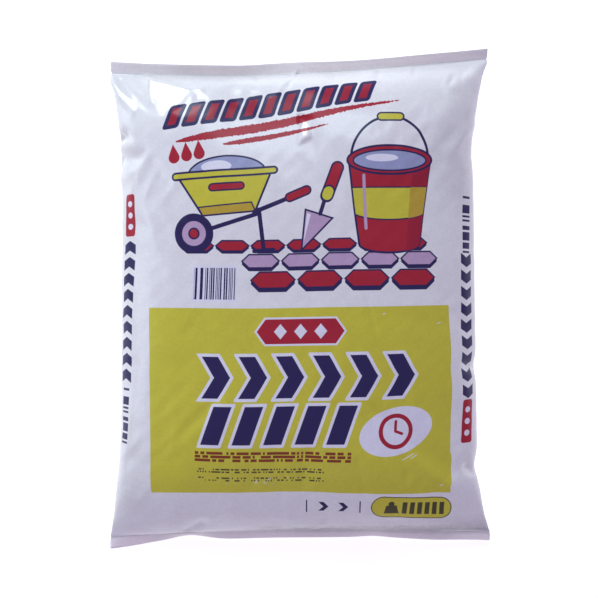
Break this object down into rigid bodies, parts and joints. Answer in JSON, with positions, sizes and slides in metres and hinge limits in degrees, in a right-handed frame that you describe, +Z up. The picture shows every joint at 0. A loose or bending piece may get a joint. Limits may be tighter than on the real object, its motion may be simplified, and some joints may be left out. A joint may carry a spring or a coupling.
{
  "type": "cement bag",
  "caption": "Pillow bag of dry cement mix in printed plastic film, lying flat, its film tube welded shut in a narrow fin across each end.",
  "frame": {"origin": "on the floor under the middle of the sack's box, which lies flat on its back", "axes": "+Y towards the sack's head seal, +X to the right across its printed face, +Z up out of that face"},
  "size_m": [0.3292, 0.4287, 0.0649],
  "materials": {
    "film": "satin"
  },
  "bodies": {
    "root": {"sack": "film"}
  },
  "joints": []
}
